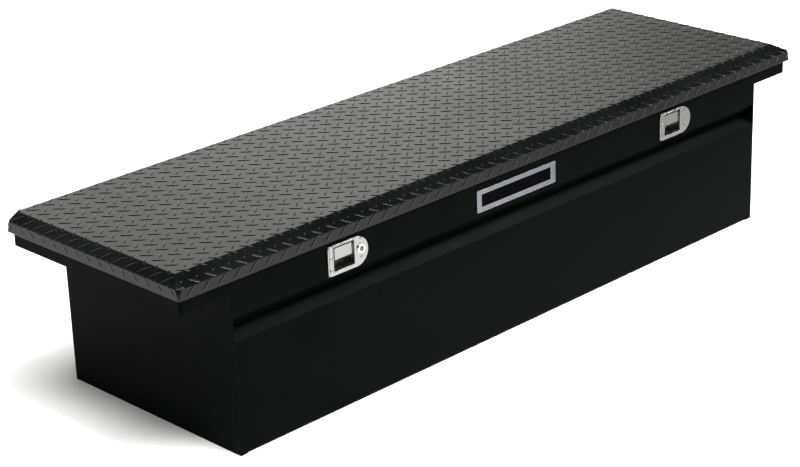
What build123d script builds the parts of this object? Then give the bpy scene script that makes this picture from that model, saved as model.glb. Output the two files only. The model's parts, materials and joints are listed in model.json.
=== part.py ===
from build123d import *
import os
from math import atan2, cos, degrees, hypot, radians, sin

# Low-profile crossover tool box for a pickup bed.
# Millimetres. X runs along the box, -Y is the front with the latches, +Z is up.
# The origin is on the ground, under the middle of the box's outline.

# ---------------------------------------------------------------- driving sizes
LID_LENGTH = 1816.0
LID_DEPTH = 514.0
HEIGHT = 392.0

SHEET = 2.0                   # tub sheet
LID_SKIN = 3.0                # lid sheet with its raised tread bars
LID_RISE = 15.0               # from the skirt's top edge to the flat top
SKIRT_HEIGHT = 23.0
END_BEVEL = 24.0
FRONT_BEVEL = 37.0
REAR_BEVEL = 5.0

WING_LENGTH = 1798.0          # over both saddle wings
BODY_LENGTH = 1568.0          # between the pickup's bed rails
TUB_DEPTH = 500.0
FRONT_INSET = 8.0             # tub front behind the lid's front skirt
WING_DROP = 51.0              # from the skirt's top edge to the wing's underside
WING_CORNER = 8.0
FOOT_HEIGHT = 6.0
FOOT_WIDTH = 18.0

GROOVE_TOP_DROP = 98.0        # from the skirt's top edge down the front
GROOVE_BASE_DROP = 125.0
GROOVE_END_DROP = 147.0
GROOVE_DEPTH = 23.0

RIM_WIDTH = 20.0
RIM_LIP = 5.0
LID_OPEN = 70.0               # degrees

LATCH_X = 494.0               # latch plates either side of the middle
PLATE_WIDTH = 104.0
PLATE_HEIGHT = 61.0
PLATE_TOP_DROP = 34.0
WINDOW_WIDTH = 54.0
WINDOW_HEIGHT = 49.0
WINDOW_OFFSET = -12.0         # window centre from the plate's centre
PADDLE_PULL = 35.0            # degrees
HOOK_RELEASE = 20.0           # degrees

NAMEPLATE_WIDTH = 236.0
NAMEPLATE_HEIGHT = 47.0
NAMEPLATE_X = -20.0
NAMEPLATE_TOP_DROP = 42.0

# ---------------------------------------------------------------- derived levels
FRONT_EDGE = -LID_DEPTH / 2
REAR_EDGE = LID_DEPTH / 2
SKIRT_TOP = HEIGHT - LID_RISE
SKIRT_BOTTOM = SKIRT_TOP - SKIRT_HEIGHT
TUB_FRONT = FRONT_EDGE + FRONT_INSET
TUB_REAR = TUB_FRONT + TUB_DEPTH
TUB_MIDDLE = (TUB_FRONT + TUB_REAR) / 2
WING_BOTTOM = SKIRT_TOP - WING_DROP
WALL_TOP = SKIRT_BOTTOM + 8.0
RIM_TOP = WALL_TOP + SHEET
HALF_WING = WING_LENGTH / 2
HALF_BODY = BODY_LENGTH / 2
END_INNER = HALF_BODY - SHEET
WING_RETURN = HALF_WING - 26.0   # where a wing's wrapped corner meets the front sheet
LINER_BOTTOM = RIM_TOP + 10.0
LINER_SHEET = 1.0
SIDES = (("left", -1), ("right", 1))

os.makedirs("parts", exist_ok=True)


def save(part, name):
    """Label a finished piece and write it to its own STEP file."""
    part.label = name
    export_step(part, f"parts/{name}.step")


def block(x0, x1, y0, y1, z0, z1, mode=Mode.ADD):
    """An axis-aligned block between two corners, in the current part."""
    with BuildSketch(Plane.XY.offset(min(z0, z1))) as base:
        with Locations(((x0 + x1) / 2, (y0 + y1) / 2)):
            Rectangle(abs(x1 - x0), abs(y1 - y0))
    extrude(base.sketch, amount=abs(z1 - z0), mode=mode)


def x_cylinder(x0, x1, y, z, radius, mode=Mode.ADD):
    """A cylinder along X between x0 and x1, in the current part."""
    plane = Plane(origin=(min(x0, x1), y, z), x_dir=(0, 1, 0), z_dir=(1, 0, 0))
    with BuildSketch(plane) as base:
        Circle(radius)
    extrude(base.sketch, amount=abs(x1 - x0), mode=mode)


def y_cylinder(x, z, y0, y1, radius, mode=Mode.ADD):
    """A cylinder along Y between y0 and y1, in the current part."""
    plane = Plane(origin=(x, min(y0, y1), z), x_dir=(1, 0, 0), z_dir=(0, 1, 0))
    with BuildSketch(plane) as base:
        Circle(radius)
    extrude(base.sketch, amount=abs(y1 - y0), mode=mode)


# ---------------------------------------------------------------- latch layout
PLATE_TOP = SKIRT_TOP - PLATE_TOP_DROP
PLATE_BOTTOM = PLATE_TOP - PLATE_HEIGHT
PLATE_ROUND = PLATE_HEIGHT / 2
GASKET = 1.2
PLATE_SHEET = 2.0
PLATE_BACK = TUB_FRONT - GASKET
PLATE_FACE = PLATE_BACK - PLATE_SHEET
WINDOW_TOP = PLATE_TOP - 3.5
WINDOW_BOTTOM = WINDOW_TOP - WINDOW_HEIGHT
PAN_SHEET = 1.2
PAN_BACK = TUB_FRONT + 20.2
LOCK_OFFSET = 32.0            # lock cylinder from the plate's centre
LOCK_Z = SKIRT_TOP - 60.0
LOCK_BODY_RADIUS = 8.0

PADDLE_PIN_Y = TUB_FRONT + 5.7
PADDLE_PIN_Z = WINDOW_TOP - 4.0
PADDLE_PIN_RADIUS = 1.8
PADDLE_WIDTH = 47.0
PADDLE_HEIGHT = 24.0           # from the pin down to the blade's lower edge
PADDLE_SHEET = 2.5
PADDLE_FACE = TUB_FRONT - 0.5
TAIL_WIDTH = 8.0
TAIL_END = TUB_FRONT + 28.0
TAIL_THICKNESS = 4.0

HOOK_PIN_Y = TUB_FRONT + 41.0
HOOK_PIN_Z = 318.0
HOOK_PIN_RADIUS = 3.0
HOOK_WIDTH = 8.0
STRIKER_Y = HOOK_PIN_Y + 10.0
STRIKER_Z = HOOK_PIN_Z + 28.0
STRIKER_RADIUS = 4.0
RUNNING = 0.05                # radial running clearance


def window_x(side):
    return side * LATCH_X + WINDOW_OFFSET


# ---------------------------------------------------------------- tub sheets
GROOVE_TOP = SKIRT_TOP - GROOVE_TOP_DROP
with BuildPart() as front_wall:
    groove = [(TUB_FRONT, FOOT_HEIGHT), (TUB_FRONT, SKIRT_TOP - GROOVE_END_DROP),
              (TUB_FRONT + GROOVE_DEPTH, SKIRT_TOP - GROOVE_BASE_DROP),
              (TUB_FRONT, GROOVE_TOP)]
    with BuildSketch(Plane.YZ.offset(-END_INNER)):
        with BuildLine():
            Polyline(*groove, *[(y + SHEET, z) for y, z in reversed(groove)], close=True)
        make_face()
    extrude(amount=2 * END_INNER)

# The band above the groove is a row of plain solids, so that it stays open at the latches.
PAN_HALF = WINDOW_WIDTH / 2 + PAN_SHEET
PAN_LOW = WINDOW_BOTTOM - PAN_SHEET
PAN_HIGH = WINDOW_TOP + PAN_SHEET
LOCK_X = -LATCH_X + LOCK_OFFSET
left_window = window_x(-1)
right_window = window_x(1)
band_spans = [(-END_INNER, left_window - PAN_HALF, GROOVE_TOP, WALL_TOP),
              (left_window - PAN_HALF, left_window + PAN_HALF, GROOVE_TOP, PAN_LOW),
              (left_window - PAN_HALF, left_window + PAN_HALF, PAN_HIGH, WALL_TOP),
              (left_window + PAN_HALF, right_window - PAN_HALF, GROOVE_TOP, WALL_TOP),
              (right_window - PAN_HALF, right_window + PAN_HALF, GROOVE_TOP, PAN_LOW),
              (right_window - PAN_HALF, right_window + PAN_HALF, PAN_HIGH, WALL_TOP),
              (right_window + PAN_HALF, END_INNER, GROOVE_TOP, WALL_TOP),
              (-WING_RETURN, -END_INNER, WING_BOTTOM + SHEET, WALL_TOP),
              (END_INNER, WING_RETURN, WING_BOTTOM + SHEET, WALL_TOP)]
front_solids = [front_wall.part]
for x0, x1, z0, z1 in band_spans:
    with BuildPart() as band:
        block(x0, x1, TUB_FRONT, TUB_FRONT + SHEET, z0, z1)
        if x0 < LOCK_X < x1:
            y_cylinder(LOCK_X, LOCK_Z, TUB_FRONT, TUB_FRONT + SHEET, LOCK_BODY_RADIUS,
                       mode=Mode.SUBTRACT)
    front_solids.append(band.part)
save(Compound(children=front_solids), "front_panel")

with BuildPart() as rear_panel:
    block(-END_INNER, END_INNER, TUB_REAR - SHEET, TUB_REAR, FOOT_HEIGHT, WALL_TOP)
    block(-WING_RETURN, WING_RETURN, TUB_REAR - SHEET, TUB_REAR, WING_BOTTOM + SHEET,
          WALL_TOP)
save(rear_panel.part, "rear_panel")

FLOOR_FLANGE = 20.0
DRAIN_X = 700.0
DRAIN_RADIUS = 12.0
with BuildPart() as floor_pan:
    block(-END_INNER, END_INNER, TUB_FRONT + SHEET, TUB_REAR - SHEET,
          FOOT_HEIGHT, FOOT_HEIGHT + FLOOR_FLANGE)
    block(-END_INNER + SHEET, END_INNER - SHEET, TUB_FRONT + 2 * SHEET,
          TUB_REAR - 2 * SHEET, FOOT_HEIGHT + SHEET, FOOT_HEIGHT + FLOOR_FLANGE,
          mode=Mode.SUBTRACT)
    with BuildSketch(Plane.XY.offset(FOOT_HEIGHT)):
        with Locations((-DRAIN_X, 0), (DRAIN_X, 0)):
            Circle(DRAIN_RADIUS)
    extrude(amount=SHEET, mode=Mode.SUBTRACT)
save(floor_pan.part, "floor_pan")

DRAIN_PLUG_STEPS = ((DRAIN_RADIUS + 2, -1.5, 0),     # radius, low and high of each step
                    (DRAIN_RADIUS, 0, SHEET),
                    (DRAIN_RADIUS + 4, SHEET, SHEET + 2))
with BuildPart() as drain_plugs:
    for radius, low, high in DRAIN_PLUG_STEPS:
        with BuildSketch(Plane.XY.offset(FOOT_HEIGHT + low)):
            with Locations((-DRAIN_X, 0), (DRAIN_X, 0)):
                Circle(radius)
        extrude(amount=high - low)
save(drain_plugs.part, "drain_plugs")

FOOT_INNER = HALF_BODY - FOOT_WIDTH
for name, side in SIDES:
    with BuildPart() as end_panel:
        block(side * END_INNER, side * HALF_BODY, TUB_FRONT, TUB_REAR, 0,
              WING_BOTTOM + SHEET)
        block(side * FOOT_INNER, side * END_INNER, TUB_FRONT, TUB_REAR, 0, SHEET)
        block(side * FOOT_INNER, side * (FOOT_INNER + SHEET), TUB_FRONT, TUB_REAR,
              SHEET, FOOT_HEIGHT)
        for y in (TUB_FRONT, TUB_REAR - SHEET):
            block(side * FOOT_INNER, side * END_INNER, y, y + SHEET, SHEET, FOOT_HEIGHT)
    save(end_panel.part, f"end_panel_{name}")

CLAMP_HOLE_X = 840.0
CLAMP_HOLE_Y = 180.0
CLAMP_HOLE_RADIUS = 5.5


def end_strip(side, start, z, inset=0.0):
    """Plan of a wing at height z, from an inner edge out to its two rounded corners."""
    end = HALF_WING - inset
    with BuildSketch(Plane.XY.offset(z)) as strip:
        with Locations((side * (start + end) / 2, TUB_MIDDLE)):
            Rectangle(end - start, TUB_DEPTH - 2 * inset)
        fillet(strip.vertices().group_by(Axis.X)[-1 if side > 0 else 0],
               WING_CORNER - inset)
    return strip.sketch


for name, side in SIDES:
    with BuildPart() as wing:
        extrude(end_strip(side, HALF_BODY, WING_BOTTOM), amount=SHEET)
        with BuildSketch(Plane.XY.offset(WING_BOTTOM)) as clamp_holes:
            with Locations((side * CLAMP_HOLE_X, CLAMP_HOLE_Y),
                           (side * CLAMP_HOLE_X, -CLAMP_HOLE_Y)):
                Circle(CLAMP_HOLE_RADIUS)
        extrude(amount=SHEET, mode=Mode.SUBTRACT)
        wall_base = WING_BOTTOM + SHEET
        wall_height = WALL_TOP - wall_base
        extrude(end_strip(side, WING_RETURN, wall_base), amount=wall_height)
        extrude(end_strip(side, WING_RETURN, wall_base, SHEET), amount=wall_height,
                mode=Mode.SUBTRACT)
    save(wing.part, f"wing_{name}")

# ---------------------------------------------------------------- rim and seal
RIM_END = HALF_WING - RIM_WIDTH
for name, face, inward in (("front", TUB_FRONT, 1), ("rear", TUB_REAR, -1)):
    with BuildPart() as rim:
        block(-RIM_END, RIM_END, face, face + inward * RIM_WIDTH, WALL_TOP, RIM_TOP)
        block(-RIM_END, RIM_END, face + inward * (RIM_WIDTH - SHEET),
              face + inward * RIM_WIDTH, WALL_TOP - RIM_LIP, WALL_TOP)
    save(rim.part, f"rim_{name}")

for name, side in SIDES:
    with BuildPart() as rim:
        extrude(end_strip(side, RIM_END, WALL_TOP), amount=SHEET)
        block(side * RIM_END, side * (RIM_END + SHEET), TUB_FRONT + RIM_WIDTH,
              TUB_REAR - RIM_WIDTH, WALL_TOP - RIM_LIP, WALL_TOP)
    save(rim.part, f"rim_{name}")

SEAL_INSET = 6.0
SEAL_WIDTH = 9.0
SEAL_HEIGHT = LINER_BOTTOM - RIM_TOP - 0.4
SEAL_CORNER = 18.0
SEAL_ROUND = 3.5
with BuildPart() as rim_seal:
    with BuildSketch(Plane.XY.offset(RIM_TOP)):
        with Locations((0, TUB_MIDDLE)):
            RectangleRounded(WING_LENGTH - 2 * SEAL_INSET, TUB_DEPTH - 2 * SEAL_INSET,
                             SEAL_CORNER)
            RectangleRounded(WING_LENGTH - 2 * (SEAL_INSET + SEAL_WIDTH),
                             TUB_DEPTH - 2 * (SEAL_INSET + SEAL_WIDTH),
                             SEAL_CORNER - SEAL_WIDTH, mode=Mode.SUBTRACT)
    extrude(amount=SEAL_HEIGHT)
    fillet(rim_seal.faces().sort_by(Axis.Z)[-1].edges(), SEAL_ROUND)
save(rim_seal.part, "rim_seal")

# ---------------------------------------------------------------- piano hinge
HINGE_LENGTH = 1727.2
KNUCKLES = 34
KNUCKLE_PITCH = HINGE_LENGTH / KNUCKLES
KNUCKLE_GAP = 0.6
KNUCKLE_RADIUS = 2.8
HINGE_PIN_RADIUS = 1.2
HINGE_BORE = HINGE_PIN_RADIUS + RUNNING
HINGE_Y = REAR_EDGE - 2.9
HINGE_Z = SKIRT_BOTTOM - 3.4
LEAF_SHEET = 1.2
LEAF_TUB_BOTTOM = HINGE_Z - 26.0
LEAF_TUB_TOP = HINGE_Z - 3.6
LID_REAR_INNER = REAR_EDGE - LID_SKIN
LEAF_LID_TOP = SKIRT_TOP - 2.0
LEAF_LID_REACH = 1.6          # the lid leaf starts this far above the hinge line
RIVET_PITCH = 152.4
RIVET_COUNT = 11
RIVET_RADIUS = 3.2
RIVET_HEAD = 1.2
RIVET_TUB_Z = HINGE_Z - 16.0
RIVET_LID_Z = SKIRT_TOP - 8.0


def knuckle_spans(first):
    """Start and end of every second knuckle along the hinge."""
    spans = []
    for i in range(first, KNUCKLES, 2):
        start = -HINGE_LENGTH / 2 + i * KNUCKLE_PITCH
        spans.append((start + KNUCKLE_GAP / 2, start + KNUCKLE_PITCH - KNUCKLE_GAP / 2))
    return spans


with BuildPart() as hinge_leaf_tub:
    block(-HINGE_LENGTH / 2, HINGE_LENGTH / 2, TUB_REAR, TUB_REAR + LEAF_SHEET,
          LEAF_TUB_BOTTOM, LEAF_TUB_TOP)
    for start, end in knuckle_spans(0):
        block(start, end, TUB_REAR, TUB_REAR + LEAF_SHEET, LEAF_TUB_TOP, HINGE_Z)
        x_cylinder(start, end, HINGE_Y, HINGE_Z, KNUCKLE_RADIUS)
    x_cylinder(-HINGE_LENGTH / 2, HINGE_LENGTH / 2, HINGE_Y, HINGE_Z, HINGE_BORE,
               mode=Mode.SUBTRACT)
save(hinge_leaf_tub.part, "hinge_leaf_tub")

with BuildPart() as hinge_leaf_lid:
    block(-HINGE_LENGTH / 2, HINGE_LENGTH / 2, LID_REAR_INNER - LEAF_SHEET,
          LID_REAR_INNER, SKIRT_BOTTOM, LEAF_LID_TOP)
    for start, end in knuckle_spans(1):
        block(start, end, LID_REAR_INNER - LEAF_SHEET, LID_REAR_INNER,
              HINGE_Z + LEAF_LID_REACH, SKIRT_BOTTOM)
        x_cylinder(start, end, HINGE_Y, HINGE_Z, KNUCKLE_RADIUS)
    x_cylinder(-HINGE_LENGTH / 2, HINGE_LENGTH / 2, HINGE_Y, HINGE_Z, HINGE_BORE,
               mode=Mode.SUBTRACT)
save(hinge_leaf_lid.part, "hinge_leaf_lid")

with BuildPart() as hinge_pin:
    x_cylinder(-HINGE_LENGTH / 2, HINGE_LENGTH / 2, HINGE_Y, HINGE_Z, HINGE_PIN_RADIUS)
save(hinge_pin.part, "hinge_pin")

rivet_xs = [(i - (RIVET_COUNT - 1) / 2) * RIVET_PITCH for i in range(RIVET_COUNT)]
with BuildPart() as hinge_rivets_tub:
    for x in rivet_xs:
        y_cylinder(x, RIVET_TUB_Z, TUB_REAR + LEAF_SHEET,
                   TUB_REAR + LEAF_SHEET + RIVET_HEAD, RIVET_RADIUS)
save(hinge_rivets_tub.part, "hinge_rivets_tub")

with BuildPart() as hinge_rivets_lid:
    for x in rivet_xs:
        y_cylinder(x, RIVET_LID_Z, LID_REAR_INNER - LEAF_SHEET - RIVET_HEAD,
                   LID_REAR_INNER - LEAF_SHEET, RIVET_RADIUS)
save(hinge_rivets_lid.part, "hinge_rivets_lid")

# ---------------------------------------------------------------- lid
LID_CORNER = 5.0
LID_TOP_CORNER = 3.0


def lid_shape(wall, top_wall, low, shoulder, top, mode=Mode.ADD):
    """The lid's outline, set in by a wall: an upright skirt and a bevelled crown."""
    length = LID_LENGTH - 2 * wall
    depth = LID_DEPTH - 2 * wall
    crown_length = LID_LENGTH - 2 * (END_BEVEL + top_wall)
    crown_front = FRONT_EDGE + FRONT_BEVEL + top_wall
    crown_rear = REAR_EDGE - REAR_BEVEL - top_wall
    with BuildSketch(Plane.XY.offset(low)) as skirt:
        RectangleRounded(length, depth, LID_CORNER)
    extrude(skirt.sketch, amount=shoulder - low, mode=mode)
    with BuildSketch(Plane.XY.offset(shoulder)) as crown_base:
        RectangleRounded(length, depth, LID_CORNER)
    with BuildSketch(Plane.XY.offset(top)) as crown_top:
        with Locations((0, (crown_front + crown_rear) / 2)):
            RectangleRounded(crown_length, crown_rear - crown_front, LID_TOP_CORNER)
    loft([crown_base.sketch, crown_top.sketch], mode=mode)


with BuildPart() as lid_skin:
    lid_shape(0, 0, SKIRT_BOTTOM, SKIRT_TOP, HEIGHT)
    lid_shape(LID_SKIN, LID_SKIN / 2, SKIRT_BOTTOM, SKIRT_TOP - 1, HEIGHT - LID_SKIN,
              mode=Mode.SUBTRACT)
save(lid_skin.part, "lid_skin")

LINER_MARGIN = 11.0
LINER_CORNER = 6.0
with BuildPart() as lid_liner:
    with BuildSketch(Plane.XY.offset(LINER_BOTTOM)):
        RectangleRounded(LID_LENGTH - 2 * LINER_MARGIN, LID_DEPTH - 2 * LINER_MARGIN,
                         LINER_CORNER)
    extrude(amount=LINER_SHEET)
save(lid_liner.part, "lid_liner")

STIFFENER_XS = (-600.0, -200.0, 200.0, 600.0)
STIFFENER_WIDTH = 50.0
STIFFENER_FLANGE = 14.0
STIFFENER_SHEET = 1.2
STIFFENER_FRONT = -206.0
STIFFENER_REAR = 240.0
STIFFENER_LOW = LINER_BOTTOM + LINER_SHEET
STIFFENER_HIGH = HEIGHT - LID_SKIN
with BuildPart() as lid_stiffeners:
    for x in STIFFENER_XS:
        half = STIFFENER_WIDTH / 2
        block(x - half, x + half, STIFFENER_FRONT, STIFFENER_REAR,
              STIFFENER_LOW, STIFFENER_HIGH)
        block(x - half + STIFFENER_SHEET, x + half - STIFFENER_SHEET, STIFFENER_FRONT,
              STIFFENER_REAR, STIFFENER_LOW, STIFFENER_HIGH - STIFFENER_SHEET,
              mode=Mode.SUBTRACT)
        for edge in (-1, 1):
            block(x + edge * half, x + edge * (half + STIFFENER_FLANGE), STIFFENER_FRONT,
                  STIFFENER_REAR, STIFFENER_LOW, STIFFENER_LOW + STIFFENER_SHEET)
save(lid_stiffeners.part, "lid_stiffeners")

# ---------------------------------------------------------------- latches
def plate_outline(centre_x):
    """A latch plate: square at the left end, half round at the right end."""
    right = centre_x + PLATE_WIDTH / 2
    with Locations((centre_x - PLATE_ROUND / 2, (PLATE_TOP + PLATE_BOTTOM) / 2)):
        Rectangle(PLATE_WIDTH - PLATE_ROUND, PLATE_HEIGHT)
    with Locations((right - PLATE_ROUND, (PLATE_TOP + PLATE_BOTTOM) / 2)):
        Circle(PLATE_ROUND)


PLATE_CORNER = 7.0
PLATE_EDGE = 1.2
WINDOW_RIM = 2.2              # raised rim pressed round the window
WINDOW_RIM_HEIGHT = 0.9
WINDOW_RIM_ROUND = 0.6
LINE_INSET = 2.3              # pressed line beside the plate's left edge
LINE_WIDTH = 1.5
LINE_DEPTH = 0.9
LINE_MARGIN = 6.0
SLOT_HALF = 6.0               # slot in the pan's back for the paddle's tail
SLOT_LOW = PADDLE_PIN_Z - 18.0
SLOT_HIGH = PADDLE_PIN_Z + 1.5
SLEEVE_HALF = 10.0            # paddle's sleeve around its pin
SLEEVE_RADIUS = 3.2
BLADE_CORNER = 2.5
BLADE_EDGE = 0.8
SPRING_WIRE = 0.45
SPRING_RADIUS = 2.8
SPRING_PITCH = 1.3
SPRING_LENGTH = 7.8
CASE_SIDE_IN = 5.5
CASE_SIDE_OUT = 7.5
CASE_FLANGE = 18.0
CASE_BACK = HOOK_PIN_Y + 8.0
CASE_LOW = HOOK_PIN_Z - 14.0
CASE_HIGH = HOOK_PIN_Z + 12.0
PIN_HEAD = 1.5
HOOK_BOSS = 7.0
HOOK_LINE = ((-4, 0), (-4, 34), (0, 38), (14.5, 36.5), (14.5, 32.5), (6, 32.5), (4, 30.5),
             (4, 0))                         # y, z from the hook's pin
HOOK_TAIL = ((0, -4), (-16, 0), (-16, 4), (0, 4))
STRIKER_BASE = (24.0, 9.0, 2.0)              # half length, half depth, sheet
CHEEK_IN = 11.0
CHEEK_OUT = 14.0
CHEEK_DEPTH = 6.0
RIVET_SPOTS = ((-45.0, -25.0), (-45.0, -49.0), (33.5, -7.0), (34.5, -45.0))
LATCH_RIVET_RADIUS = 3.0
LATCH_RIVET_HEAD = 1.4

for name, side in SIDES:
    plate_x = side * LATCH_X
    win_x = window_x(side)
    front_plane = Plane(origin=(0, PLATE_FACE, 0), x_dir=(1, 0, 0), z_dir=(0, -1, 0))
    gasket_plane = Plane(origin=(0, PLATE_BACK, 0), x_dir=(1, 0, 0), z_dir=(0, -1, 0))
    window_middle = (win_x, (WINDOW_TOP + WINDOW_BOTTOM) / 2)
    has_lock = side < 0

    with BuildPart() as latch_gasket:
        with BuildSketch(gasket_plane):
            plate_outline(plate_x)
            with Locations(window_middle):
                Rectangle(WINDOW_WIDTH + 2 * PAN_SHEET, WINDOW_HEIGHT + 2 * PAN_SHEET,
                          mode=Mode.SUBTRACT)
            if has_lock:
                with Locations((plate_x + LOCK_OFFSET, LOCK_Z)):
                    Circle(LOCK_BODY_RADIUS, mode=Mode.SUBTRACT)
        extrude(amount=-GASKET)
    save(latch_gasket.part, f"latch_gasket_{name}")

    with BuildPart() as latch_dish:
        with BuildSketch(front_plane):
            plate_outline(plate_x)
            if has_lock:
                with Locations((plate_x + LOCK_OFFSET, LOCK_Z)):
                    Circle(LOCK_BODY_RADIUS, mode=Mode.SUBTRACT)
        extrude(amount=-PLATE_SHEET)
        left_edges = latch_dish.edges().filter_by(Axis.Y).group_by(Axis.X)[0]
        fillet(left_edges, PLATE_CORNER)
        face_rim = latch_dish.faces().filter_by(Axis.Y).sort_by(Axis.Y)[0].outer_wire()
        fillet(face_rim.edges(), PLATE_EDGE)
        with BuildSketch(front_plane):
            with Locations(window_middle):
                RectangleRounded(WINDOW_WIDTH + 2 * WINDOW_RIM,
                                 WINDOW_HEIGHT + 2 * WINDOW_RIM, WINDOW_RIM)
        extrude(amount=WINDOW_RIM_HEIGHT)
        block(win_x - PAN_HALF, win_x + PAN_HALF, PLATE_BACK, PAN_BACK, PAN_LOW, PAN_HIGH)
        block(win_x - WINDOW_WIDTH / 2, win_x + WINDOW_WIDTH / 2,
              PLATE_FACE - WINDOW_RIM_HEIGHT, PAN_BACK - PAN_SHEET, WINDOW_BOTTOM,
              WINDOW_TOP, mode=Mode.SUBTRACT)
        window_rim = latch_dish.faces().filter_by(Axis.Y).sort_by(Axis.Y)[0]
        fillet(window_rim.edges(), WINDOW_RIM_ROUND)
        line_start = plate_x - PLATE_WIDTH / 2 + LINE_INSET
        block(line_start, line_start + LINE_WIDTH, PLATE_FACE, PLATE_FACE + LINE_DEPTH,
              PLATE_BOTTOM + LINE_MARGIN, PLATE_TOP - LINE_MARGIN / 2,
              mode=Mode.SUBTRACT)
        block(win_x - SLOT_HALF, win_x + SLOT_HALF, PAN_BACK - PAN_SHEET, PAN_BACK,
              SLOT_LOW, SLOT_HIGH, mode=Mode.SUBTRACT)
    save(latch_dish.part, f"latch_dish_{name}")

    with BuildPart() as paddle_pin:
        x_cylinder(win_x - WINDOW_WIDTH / 2, win_x + WINDOW_WIDTH / 2, PADDLE_PIN_Y,
                   PADDLE_PIN_Z, PADDLE_PIN_RADIUS)
    save(paddle_pin.part, f"paddle_pin_{name}")

    with BuildPart() as paddle:
        block(win_x - PADDLE_WIDTH / 2, win_x + PADDLE_WIDTH / 2, PADDLE_FACE,
              PADDLE_FACE + PADDLE_SHEET, PADDLE_PIN_Z - PADDLE_HEIGHT, PADDLE_PIN_Z)
        blade_edges = paddle.edges().filter_by(Axis.Y)
        fillet(blade_edges, BLADE_CORNER)
        fillet(paddle.faces().sort_by(Axis.Y)[0].outer_wire().edges(), BLADE_EDGE)
        block(win_x - SLEEVE_HALF, win_x + SLEEVE_HALF, PADDLE_FACE + PADDLE_SHEET,
              PADDLE_PIN_Y, PADDLE_PIN_Z - PADDLE_SHEET, PADDLE_PIN_Z)
        x_cylinder(win_x - SLEEVE_HALF, win_x + SLEEVE_HALF, PADDLE_PIN_Y, PADDLE_PIN_Z,
                   SLEEVE_RADIUS)
        block(win_x - TAIL_WIDTH / 2, win_x + TAIL_WIDTH / 2, PADDLE_PIN_Y, TAIL_END,
              PADDLE_PIN_Z - TAIL_THICKNESS, PADDLE_PIN_Z)
        x_cylinder(win_x - SLEEVE_HALF, win_x + SLEEVE_HALF, PADDLE_PIN_Y, PADDLE_PIN_Z,
                   PADDLE_PIN_RADIUS + RUNNING, mode=Mode.SUBTRACT)
    save(paddle.part, f"paddle_{name}")

    with BuildPart() as paddle_spring:
        spring_plane = Plane(origin=(win_x + SLEEVE_HALF + 1, PADDLE_PIN_Y, PADDLE_PIN_Z),
                             x_dir=(0, 1, 0), z_dir=(1, 0, 0))
        coil = Helix(pitch=SPRING_PITCH, height=SPRING_LENGTH, radius=SPRING_RADIUS)
        coil_path = spring_plane.from_local_coords(coil)
        with BuildSketch(Plane(origin=coil_path @ 0, z_dir=coil_path % 0)):
            Circle(SPRING_WIRE)
        sweep(path=coil_path, is_frenet=True)
    save(paddle_spring.part, f"paddle_spring_{name}")

    with BuildPart() as latch_case:
        block(win_x - CASE_SIDE_OUT, win_x + CASE_SIDE_OUT, PAN_BACK, CASE_BACK,
              CASE_LOW, CASE_HIGH)
        block(win_x - CASE_SIDE_IN, win_x + CASE_SIDE_IN, PAN_BACK, CASE_BACK,
              CASE_LOW + SHEET, CASE_HIGH, mode=Mode.SUBTRACT)
        for edge in (-1, 1):
            block(win_x + edge * CASE_SIDE_OUT, win_x + edge * CASE_FLANGE, PAN_BACK,
                  PAN_BACK + SHEET, CASE_LOW, CASE_HIGH)
        x_cylinder(win_x - CASE_SIDE_OUT, win_x + CASE_SIDE_OUT, HOOK_PIN_Y, HOOK_PIN_Z,
                   HOOK_PIN_RADIUS, mode=Mode.SUBTRACT)
    save(latch_case.part, f"latch_case_{name}")

    with BuildPart() as hook_pin:
        x_cylinder(win_x - CASE_SIDE_OUT, win_x + CASE_SIDE_OUT, HOOK_PIN_Y, HOOK_PIN_Z,
                   HOOK_PIN_RADIUS)
        for edge in (-1, 1):
            x_cylinder(win_x + edge * CASE_SIDE_OUT,
                       win_x + edge * (CASE_SIDE_OUT + PIN_HEAD), HOOK_PIN_Y, HOOK_PIN_Z,
                       HOOK_PIN_RADIUS + PIN_HEAD)
    save(hook_pin.part, f"hook_pin_{name}")

    with BuildPart() as hook:
        hook_plane = Plane(origin=(win_x - HOOK_WIDTH / 2, HOOK_PIN_Y, HOOK_PIN_Z),
                           x_dir=(0, 1, 0), z_dir=(1, 0, 0))
        with BuildSketch(hook_plane):
            with BuildLine():
                Polyline(*HOOK_LINE, close=True)
            make_face()
            with BuildLine():
                Polyline(*HOOK_TAIL, close=True)
            make_face()
            Circle(HOOK_BOSS)
        extrude(amount=HOOK_WIDTH)
        x_cylinder(win_x - HOOK_WIDTH / 2, win_x + HOOK_WIDTH / 2, HOOK_PIN_Y,
                   HOOK_PIN_Z, HOOK_PIN_RADIUS + RUNNING, mode=Mode.SUBTRACT)
    save(hook.part, f"hook_{name}")

    with BuildPart() as striker:
        half_length, half_depth, base_sheet = STRIKER_BASE
        block(win_x - half_length, win_x + half_length, STRIKER_Y - half_depth,
              STRIKER_Y + half_depth, LINER_BOTTOM - base_sheet, LINER_BOTTOM)
        for edge in (-1, 1):
            block(win_x + edge * CHEEK_IN, win_x + edge * CHEEK_OUT,
                  STRIKER_Y - CHEEK_DEPTH, STRIKER_Y + CHEEK_DEPTH,
                  STRIKER_Z - CHEEK_DEPTH, LINER_BOTTOM - base_sheet)
        x_cylinder(win_x - CHEEK_IN, win_x + CHEEK_IN, STRIKER_Y, STRIKER_Z,
                   STRIKER_RADIUS)
    save(striker.part, f"striker_{name}")

with BuildPart() as latch_rivets:
    for name, side in SIDES:
        for dx, dz in RIVET_SPOTS:
            y_cylinder(side * LATCH_X + dx, PLATE_TOP + dz, PLATE_FACE - LATCH_RIVET_HEAD,
                       PLATE_FACE, LATCH_RIVET_RADIUS)
    fillet(latch_rivets.faces().filter_by(Axis.Y).group_by(Axis.Y)[0].edges(), 1.0)
save(latch_rivets.part, "latch_rivets")

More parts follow.
